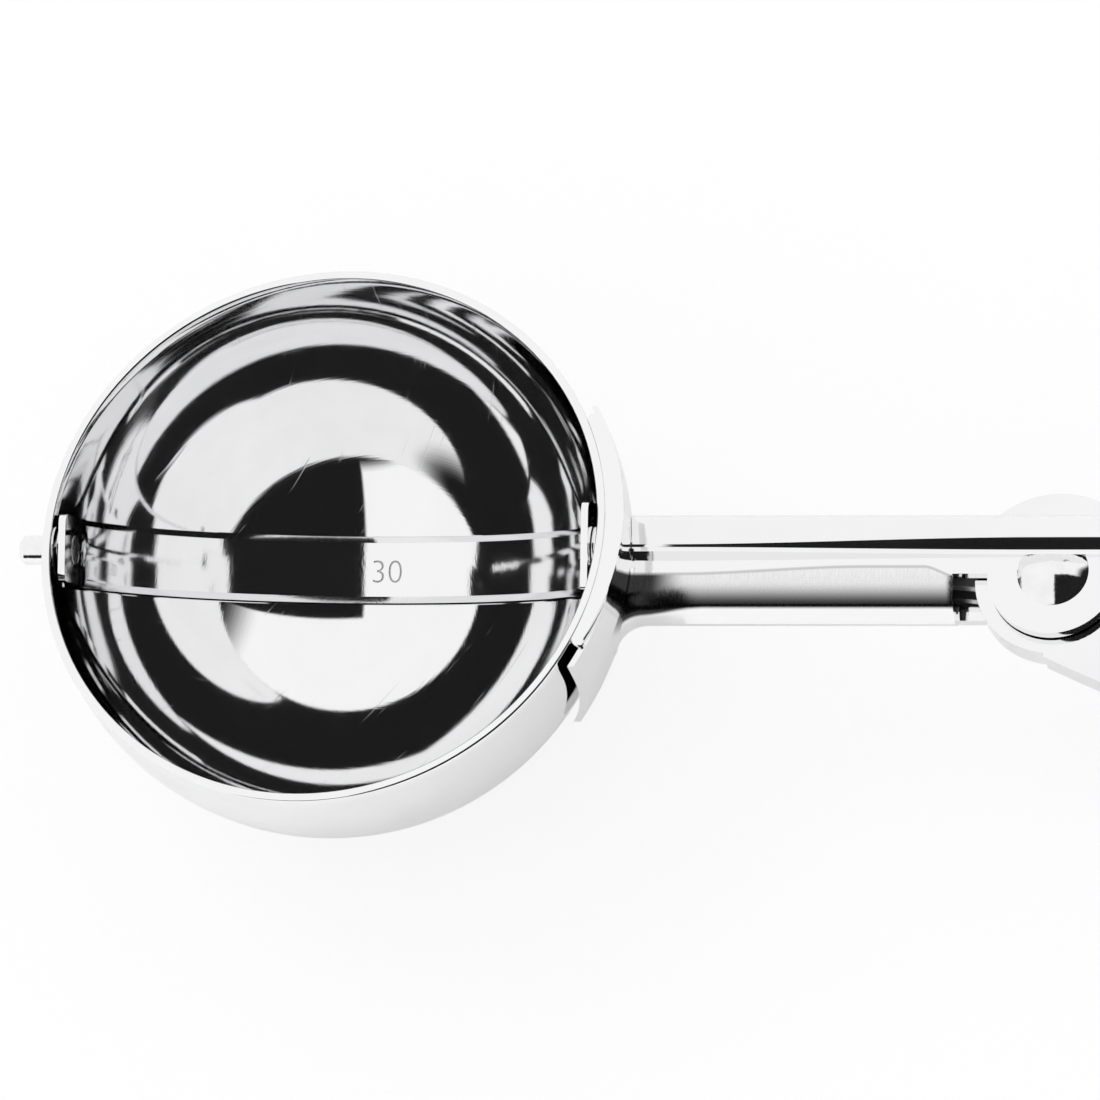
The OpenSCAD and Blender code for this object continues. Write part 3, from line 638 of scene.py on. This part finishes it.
def strap_band(sizes):
    """Half ring with both long edges sharpened and a crease that fades from each end."""
    outer, half = sizes.strap_outside, sizes.strap_width / 2
    inner = outer - sizes.strap_sheet
    flat = half - sizes.strap_edge
    deselect()
    bpy.ops.mesh.primitive_cylinder_add(
        vertices=240, radius=outer, depth=sizes.strap_width, end_fill_type="NOTHING",
        location=(0, 0, 0), rotation=(math.radians(90), 0, 0))
    strap = bpy.context.object
    strap.name = "sweep_blade_finished"
    settle(strap)
    edit(strap)
    for place in (-flat, 0.0, flat):
        bpy.ops.mesh.select_all(action="SELECT")
        bpy.ops.mesh.bisect(plane_co=(0, place, 0), plane_no=(0, 1, 0))
    bpy.ops.mesh.select_all(action="SELECT")
    bpy.ops.mesh.bisect(plane_co=(0, 0, 0), plane_no=(0, 0, 1), clear_outer=True)
    for side in (-1, 1):
        bpy.ops.mesh.select_all(action="SELECT")
        bpy.ops.mesh.bisect(plane_co=(side * sizes.tab_face, 0, 0), plane_no=(side, 0, 0),
                            clear_outer=True)
    bpy.ops.mesh.select_all(action="SELECT")
    bpy.ops.mesh.normals_make_consistent(inside=False)
    done()
    modify(strap, "SOLIDIFY", thickness=sizes.strap_sheet, offset=-1.0, use_even_offset=True)
    middle = (inner + outer) / 2
    edit(strap)
    pick(strap, "verts", lambda v: abs(v.co.y) > flat + 1e-5 and math.hypot(v.co.x, v.co.z) < middle)
    thin = (outer - sizes.strap_edge_sheet) / inner
    bpy.ops.transform.resize(value=(thin, 1, thin), center_override=(0, 0, 0))
    start = math.degrees(math.asin(sizes.tab_face / outer))
    run = math.degrees(sizes.crease_run / outer)
    steps = 24
    for side in (-1, 1):
        for part in range(steps):
            low = start - (part + 1) * run / steps
            high = start - part * run / steps
            pick(strap, "verts", lambda v: abs(v.co.y) < 1e-6
                 and low < math.degrees(math.atan2(v.co.x * side, -v.co.z)) <= high + (part == 0))
            fade = 1.0 - (part + 0.5) / steps
            pull = 1.0 - sizes.crease_rise * fade * fade * (3.0 - 2.0 * fade) / inner
            bpy.ops.transform.resize(value=(pull, 1, pull), center_override=(0, 0, 0))
    done()
    return strap


def blade_tab(sizes, side, width, hole):
    """Flat tab with two round corners and a round hole."""
    tall = sizes.tab_reach + sizes.tab_drop
    centre = side * (sizes.tab_face - sizes.tab_sheet / 2)
    deselect()
    bpy.ops.mesh.primitive_cube_add(size=1.0, location=(centre, 0, tall / 2 - sizes.tab_drop),
                                    scale=(sizes.tab_sheet, width, tall))
    tab = bpy.context.object
    settle(tab)
    edit(tab)
    top = sizes.tab_reach - 1e-5
    pick(tab, "edges", lambda e: all(v.co.z > top for v in e.verts)
         and abs(e.verts[0].co.x - e.verts[1].co.x) > 1e-5)
    bpy.ops.mesh.bevel(offset=sizes.tab_round, segments=8, affect="EDGES")
    done()
    bpy.ops.mesh.primitive_cylinder_add(vertices=64, radius=hole, depth=8 * sizes.tab_sheet,
                                        location=(centre, 0, 0), rotation=(0, math.radians(90), 0))
    drill = bpy.context.object
    settle(drill)
    modify(tab, "BOOLEAN", operation="DIFFERENCE", solver="EXACT", object=drill)
    bpy.data.objects.remove(drill)
    return tab


def size_number(sizes):
    """Solid of the plain number 30, standing through the strap's inner face."""
    deselect()
    bpy.ops.object.text_add(location=(0, 0, 0))
    number = bpy.context.object
    number.data.body = "30"
    number.data.align_x = "CENTER"
    number.data.align_y = "CENTER"
    number.data.size = 1.0
    number.data.offset = -0.018
    number.data.extrude = 0.5
    bpy.ops.object.convert(target="MESH")
    scale = sizes.digit_height / number.dimensions.y
    number.scale = (scale, scale, 2.0 * sizes.digit_depth)
    number.location = (*sizes.digit_place, sizes.strap_sheet - sizes.strap_outside)
    settle(number)
    edit(number)
    bpy.ops.mesh.select_all(action="SELECT")
    bpy.ops.mesh.remove_doubles(threshold=1e-7)
    bpy.ops.mesh.normals_make_consistent(inside=False)
    done()
    return number


class SCOOP_OT_blade(bpy.types.Operator):
    """Bends the blade's creased strap, joins its tabs and stamps its size number"""

    bl_idname = "scoop.blade"
    bl_label = "Sweep blade"

    def execute(self, context):
        sizes = context.scene.scoop_sizes
        blade = strap_band(sizes)
        combine(blade, "UNION", blade_tab(sizes, -1, sizes.strap_width - 2e-6, sizes.tip_hole))
        combine(blade, "UNION", blade_tab(sizes, 1, sizes.drive_width, sizes.shaft_hole))
        modify(blade, "BEVEL", width=sizes.edge_round * 0.4, segments=2, limit_method="ANGLE",
               angle_limit=math.radians(40), use_clamp_overlap=True)
        combine(blade, "DIFFERENCE", size_number(sizes))
        finish(blade, steels()["blade"], "blade", "sweep_blade", slot_of("sweep_blade"))
        # The digits' floors take the stamp metal: its matt is the stamped finish, its darker grey is
        # painted shade in the recess.
        blade.data.materials.append(steels()["stamp"])
        face = sizes.strap_sheet - sizes.strap_outside
        edit(blade)
        # The floors of the digits lie just below the strap's inner face.
        pick(blade, "faces", lambda f: face - 0.0001 < f.calc_center_median().z < face - 0.00001
             and abs(f.calc_center_median().y) < 0.0014 and abs(f.calc_center_median().x) < 0.003)
        blade.active_material_index = 1
        bpy.ops.object.material_slot_assign()
        done()
        blade.rotation_euler = (sizes.rest_angle, 0, 0)
        blade.location = (0, 0, -sizes.bowl_straight)
        settle(blade)
        smooth(blade, 24)
        modify(blade, "WEIGHTED_NORMAL", mode="FACE_AREA", keep_sharp=True)
        return {"FINISHED"}


def cut_rows(axis, places):
    """Cuts the mesh in edit mode across one axis at each place."""
    normal = [float(axis == i) for i in range(3)]
    for place in places:
        bpy.ops.mesh.select_all(action="SELECT")
        bpy.ops.mesh.bisect(plane_co=[place * n for n in normal], plane_no=normal)


def ease(value, start, end):
    t = min(max((value - start) / (end - start), 0.0), 1.0)
    return t * t * (3.0 - 2.0 * t)


def shift(piece, move):
    """Moves each vert in edit mode by what move gives for its place."""
    mesh = bmesh.from_edit_mesh(piece.data)
    for vert in mesh.verts:
        vert.co += Vector(move(vert.co))
    bmesh.update_edit_mesh(piece.data)


def crown_neck(piece):
    """Crowns the neck's top down to a crease on its near side."""
    neck = bpy.context.scene.scoop_neck
    top, touch = neck.top, 1e-5
    mid_y, mid_z = neck.near + neck.top_round, top - neck.top_round
    cut_rows(1, [-0.0002 * k for k in range(1, 11)])
    cut_rows(0, [0.024 + 0.0005 * k for k in range(9)] + [0.029, 0.0483])

    def crown(y):
        part = max(neck.crown_start - y, 0.0) / (neck.crown_start - neck.crease_place)
        return top - (top - neck.crease_height) * part ** neck.crown_power

    def move(place):
        x, y, z = place
        if not 0.0237 < x < neck.tube_end or z > top + touch or y > 0.0007:
            return 0, 0, 0
        back = math.hypot(y - mid_y, z - mid_z)
        on_round = y < mid_y - 1e-6 and z > mid_z - touch and back > neck.top_round - 0.0001
        blend = ease(x, neck.blend_start, neck.blend_end)
        if on_round:
            turn = math.degrees(math.atan2(mid_y - y, z - mid_z))
            if turn <= 61.0:
                new_y = mid_y + (neck.crease_place - mid_y) * turn / 60.0
                goal = Vector((x, new_y, crown(new_y)))
            else:
                part = (turn - 60.0) / 30.0
                goal = Vector((x, neck.crease_place - neck.wall_lean * part,
                               neck.crease_height - neck.wall_fall * part))
            return (goal - place) * blend
        if z < top - touch:
            return 0, 0, 0
        return 0, 0, -(top - crown(y)) * blend

    shift(piece, move)


class SCOOP_OT_housing(bpy.types.Operator):
    """Finishes the neck and its housing with broken edges"""

    bl_idname = "scoop.housing"
    bl_label = "Neck and housing"

    def execute(self, context):
        refine_node("neck_housing", "housing", context.scene.scoop_sizes.edge_round, angle=25.0,
                    shape=crown_neck)
        return {"FINISHED"}


def chamfer_flanges(piece):
    """Slopes the edges of the fixed handle's flanges down to a thin lip by the pivot."""
    neck = bpy.context.scene.scoop_neck
    cut_rows(0, [0.001 * x for x in (*range(24, 55, 3), 58, *range(62, 67))])

    def move(place):
        x, y, z = place
        if abs(z - neck.channel_middle) < 0.0030 or y > 0.0016 or x > 0.0670:
            return 0, 0, 0
        up = 1.0 if z > neck.channel_middle else -1.0
        grow = 0.22 + 0.78 * ease(x, 0.026, 0.056)
        if y < 0.0007:
            goal_y, fall = y, neck.lip_fall * grow
        elif y < 0.0010:
            goal_y, fall = neck.lip_root, neck.slope_fall * grow
        else:
            goal_y, fall = neck.lip_root + neck.slope_run * grow, 0.0
        goal = Vector((x, goal_y, neck.channel_middle + up * (neck.channel_half - fall)))
        return (goal - place) * ease(x, 0.0671, 0.0640)

    shift(piece, move)


def ease_dome(piece):
    """Eases the rivet's dome down beside the handle's flange."""
    top = bpy.context.scene.scoop_neck.top

    def move(place):
        return 0, 0, -max(place.z - top, 0.0) * 0.5 * ease(place.y, -0.0006, 0.0006)

    shift(piece, move)


class SCOOP_OT_handles(bpy.types.Operator):
    """Finishes the fixed handle, the lever's grip and its fork"""

    bl_idname = "scoop.handles"
    bl_label = "Handles"

    def execute(self, context):
        edge = context.scene.scoop_sizes.edge_round
        refine_node("fixed_handle", "handle", edge, angle=25.0, shape=chamfer_flanges)
        refine_node("lever_handle", "lever", edge, angle=40.0)
        refine_node("lever_fork", "lever", edge * 0.8, angle=25.0)
        return {"FINISHED"}


class SCOOP_OT_pins(bpy.types.Operator):
    """Finishes pins, rivets, washers, bushes and shims"""

    bl_idname = "scoop.pins"
    bl_label = "Pins and rivets"

    def execute(self, context):
        edge = context.scene.scoop_sizes.edge_round
        for node in ("tip_pin", "blade_shaft"):
            refine_node(node, "pin", edge)
        refine_node("pivot_rivet", "rivet", edge, shape=ease_dome)
        for node in ("arm_rivets", "fork_rivet", "spring_rivets"):
            refine_node(node, "rivet", edge)
        for node in ("tip_washer", "rivet_washer", "shaft_bush"):
            refine_node(node, "pin", edge * 0.5)
        for node in ("pivot_bush", "upper_shim", "lower_shim"):
            refine_node(node, "brass", edge * 0.3)
        return {"FINISHED"}


class SCOOP_OT_gears(bpy.types.Operator):
    """Finishes the pinion, the curved rack, its rail and the arm"""

    bl_idname = "scoop.gears"
    bl_label = "Rack and pinion"

    def execute(self, context):
        edge = context.scene.scoop_sizes.edge_round
        for node in ("pinion", "curved_rack", "rack_rail", "rack_arm"):
            refine_node(node, "gear", edge * 0.4)
        return {"FINISHED"}


class SCOOP_OT_spring(bpy.types.Operator):
    """Finishes the return spring"""

    bl_idname = "scoop.spring"
    bl_label = "Return spring"

    def execute(self, context):
        spring = refined("return_spring", "return_spring_finished", 0.00006, angle=30.0)
        finish(spring, steels()["spring"], "scoop", "return_spring", slot_of("return_spring"))
        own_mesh(spring)
        return {"FINISHED"}


# ---------------------------------------------------------------- studio

# The camera's place in metres and its axes
EYE = (0.222276, -0.360759, 0.832214)
RIGHT = (0.9756, 0.0864, -0.2018)
UP = (0.0006, 0.9181, 0.3963)
VIEW = (0.2195, -0.3867, 0.8957)


def across_view(board, look):
    """A direction's slopes to the right of the view and above it, and its depth."""
    along, rise, depth = [
        board.add("ShaderNodeVectorMath", {"operation": "DOT_PRODUCT"}, {0: look, 1: axis}, output="Value")
        for axis in (RIGHT, UP, VIEW)]
    near = depth.most(0.02)
    return along / near, rise / near, depth


class SCOOP_OT_stage(bpy.types.Operator):
    """Sets the pale floor, the white tent with its dark cards and the camera"""

    bl_idname = "scoop.stage"
    bl_label = "Studio"

    def execute(self, context):
        scene = context.scene
        studio = scene.scoop_studio
        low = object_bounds()[0]
        deselect()
        bpy.ops.mesh.primitive_plane_add(size=8.0, location=(0.08, 0, low.z - 0.0001))
        floor = context.object
        floor.name = "studio_floor"
        settle(floor)
        paper, board = new_material("studio_paper", tuple(studio.floor_tint))
        x, y, z = board.place()
        fibre = board.noise(board.vector(x, y, z), 600.0, 3.0, 0.6)
        ray = board.add("ShaderNodeLightPath", output="Is Camera Ray")
        diffuse = board.add("ShaderNodeBsdfDiffuse", {},
                            {"Color": rgba(studio.floor_tint), "Roughness": 1.0,
                             "Normal": board.bump(fibre, 0.00001)})
        glow = board.add("ShaderNodeEmission", {}, {"Color": (1, 1, 1, 1), "Strength": 1.0})
        mixed = board.add("ShaderNodeMixShader", {}, {0: ray * 0.8, 1: diffuse, 2: glow})
        board.add("ShaderNodeOutputMaterial", {}, {"Surface": mixed})
        floor.data.materials.append(paper)
        floor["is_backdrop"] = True

        world = bpy.data.worlds.new("studio_tent")
        scene.world = world
        world.use_nodes = True
        board = Board(world.node_tree)
        look = board.add("ShaderNodeTexCoord", output="Generated")
        slope, rise, depth = across_view(board, look)
        lens = (board.between(slope, *studio.card_width, studio.card_soft)
                * board.between(rise, *studio.card_height, studio.card_soft)
                * board.step(depth, 0.01, 0.05))
        parts = board.add("ShaderNodeSeparateXYZ", {}, {0: look})
        ahead, aside, above = [Signal(board, parts.socket.node.outputs[i]) for i in range(3)]
        low = (board.step(aside, -0.82, -0.88) * board.step(above, -0.02, 0.05)
               * board.step(ahead, -0.66, -0.5))
        flank = board.step(ahead, 0.64, 0.84) * board.step(above, -0.02, 0.05)
        dark = lens.most(low).most(flank).least(1.0)
        glossy = board.add("ShaderNodeLightPath", output="Is Glossy Ray")
        grey = 1.0 - dark * glossy * (1.0 - studio.card_grey)
        light = board.add("ShaderNodeBackground", {},
                          {"Color": (1, 1, 1, 1), "Strength": grey * studio.tent_light})
        board.add("ShaderNodeOutputWorld", {}, {"Surface": light})

        lamp_data = bpy.data.lights.new("key_softbox", "AREA")
        lamp_data.energy = 1.2
        lamp_data.size = 0.5
        lamp = bpy.data.objects.new("key_softbox", lamp_data)
        scene.collection.objects.link(lamp)
        lamp.location = (-0.45, 0.35, 0.7)
        lamp.rotation_mode = "QUATERNION"
        lamp.rotation_quaternion = Vector(lamp.location).to_track_quat("Z", "Y")
        lamp.visible_glossy = False

        eye = bpy.data.cameras.new("camera")
        eye.lens = 392.727
        eye.sensor_width = 36.0
        eye.clip_start, eye.clip_end = 0.05, 30.0
        camera = bpy.data.objects.new("camera", eye)
        scene.collection.objects.link(camera)
        turn = Matrix((RIGHT, UP, VIEW)).transposed().to_4x4()
        camera.matrix_world = Matrix.Translation(EYE) @ turn
        scene.camera = camera
        scene.view_settings.view_transform = "Standard"
        return {"FINISHED"}


# ---------------------------------------------------------------- add-on

STEPS = (SCOOP_OT_bowl, SCOOP_OT_blade, SCOOP_OT_housing, SCOOP_OT_handles, SCOOP_OT_pins,
         SCOOP_OT_gears, SCOOP_OT_spring, SCOOP_OT_stage)


class VIEW3D_PT_scoop(bpy.types.Panel):
    """Lists the scoop's sizes, finishes and steps"""

    bl_label = "Ice cream scoop"
    bl_idname = "VIEW3D_PT_scoop"
    bl_space_type = "VIEW_3D"
    bl_region_type = "UI"
    bl_category = "Scoop"

    def draw(self, context):
        scene = context.scene
        for group in (scene.scoop_sizes, scene.scoop_neck, scene.scoop_finish, scene.scoop_studio):
            box = self.layout.box()
            for key in group.bl_rna.properties.keys():
                if key not in ("rna_type", "name"):
                    box.prop(group, key)
        for step in STEPS:
            self.layout.operator(step.bl_idname)


CLASSES = (ScoopSizes, ScoopNeck, ScoopFinish, ScoopStudio) + STEPS + (VIEW3D_PT_scoop,)


def register():
    for item in CLASSES:
        bpy.utils.register_class(item)
    bpy.types.Scene.scoop_sizes = bpy.props.PointerProperty(type=ScoopSizes)
    bpy.types.Scene.scoop_neck = bpy.props.PointerProperty(type=ScoopNeck)
    bpy.types.Scene.scoop_finish = bpy.props.PointerProperty(type=ScoopFinish)
    bpy.types.Scene.scoop_studio = bpy.props.PointerProperty(type=ScoopStudio)


def unregister():
    del bpy.types.Scene.scoop_studio
    del bpy.types.Scene.scoop_finish
    del bpy.types.Scene.scoop_neck
    del bpy.types.Scene.scoop_sizes
    for item in reversed(CLASSES):
        bpy.utils.unregister_class(item)


def main():
    register()
    bpy.ops.scoop.bowl()
    bpy.ops.scoop.blade()
    bpy.ops.scoop.housing()
    bpy.ops.scoop.handles()
    bpy.ops.scoop.pins()
    bpy.ops.scoop.gears()
    bpy.ops.scoop.spring()
    bpy.ops.scoop.stage()


if __name__ == "__main__":
    main()
